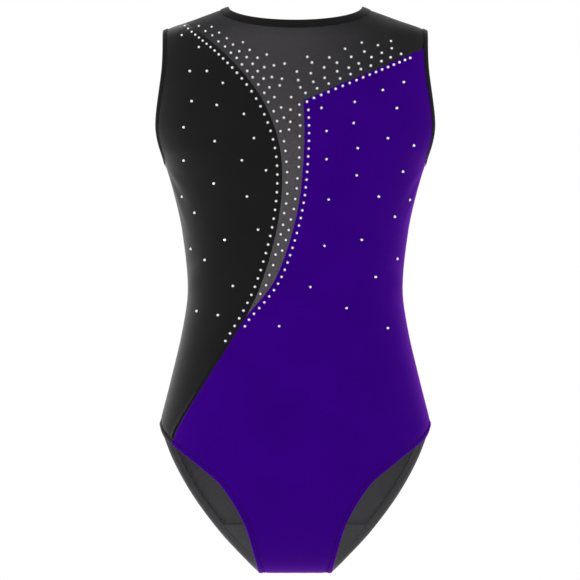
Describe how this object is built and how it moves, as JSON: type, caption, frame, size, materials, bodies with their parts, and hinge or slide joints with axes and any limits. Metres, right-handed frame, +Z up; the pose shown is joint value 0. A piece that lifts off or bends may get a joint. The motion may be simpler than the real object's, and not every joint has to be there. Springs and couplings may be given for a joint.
{
  "type": "gymnastics leotard",
  "caption": "Sleeveless gymnastics leotard in black and purple stretch cloth with a sheer mesh yoke, bound edges and rows of rhinestones.",
  "frame": {"origin": "midway between the two neck points, where the shoulder seams meet the neckline and the wearer's shoulders carry the garment", "axes": "+Z up, the front of the leotard faces -Y, and the wearer's left arm is at +X, on the right when the front is looked at"},
  "size_m": [0.2786, 0.1848, 0.566],
  "materials": {
    "black_knit": "matt stretch knit",
    "purple_knit": "smooth stretch satin knit",
    "sheer_mesh": "fine see-through stretch mesh",
    "binding": "folded stretch binding",
    "elastic": "matt braided elastic",
    "thread": "overlocked thread",
    "lining": "matt cotton knit",
    "rhinestone": "faceted crystal with a silver back"
  },
  "bodies": {
    "root": {"black_side_panel": "black_knit", "purple_front_panel": "purple_knit", "mesh_yoke": "sheer_mesh", "back_panel": "black_knit", "crotch_lining": "lining", "neck_binding": "binding", "neck_elastic": "elastic", "armhole_binding_left": "binding", "armhole_binding_right": "binding", "armhole_elastic_left": "elastic", "armhole_elastic_right": "elastic", "leg_elastic_left": "elastic", "leg_elastic_right": "elastic", "side_seam_left": "thread", "side_seam_right": "thread", "shoulder_seam_left": "thread", "shoulder_seam_right": "thread", "crotch_seam": "thread", "yoke_seam_black": "thread", "yoke_seam_purple": "thread", "front_seam": "thread", "stones_black_edge": "rhinestone", "stones_purple_top": "rhinestone", "stones_purple_side": "rhinestone", "stones_stripe": "rhinestone"}
  },
  "joints": []
}
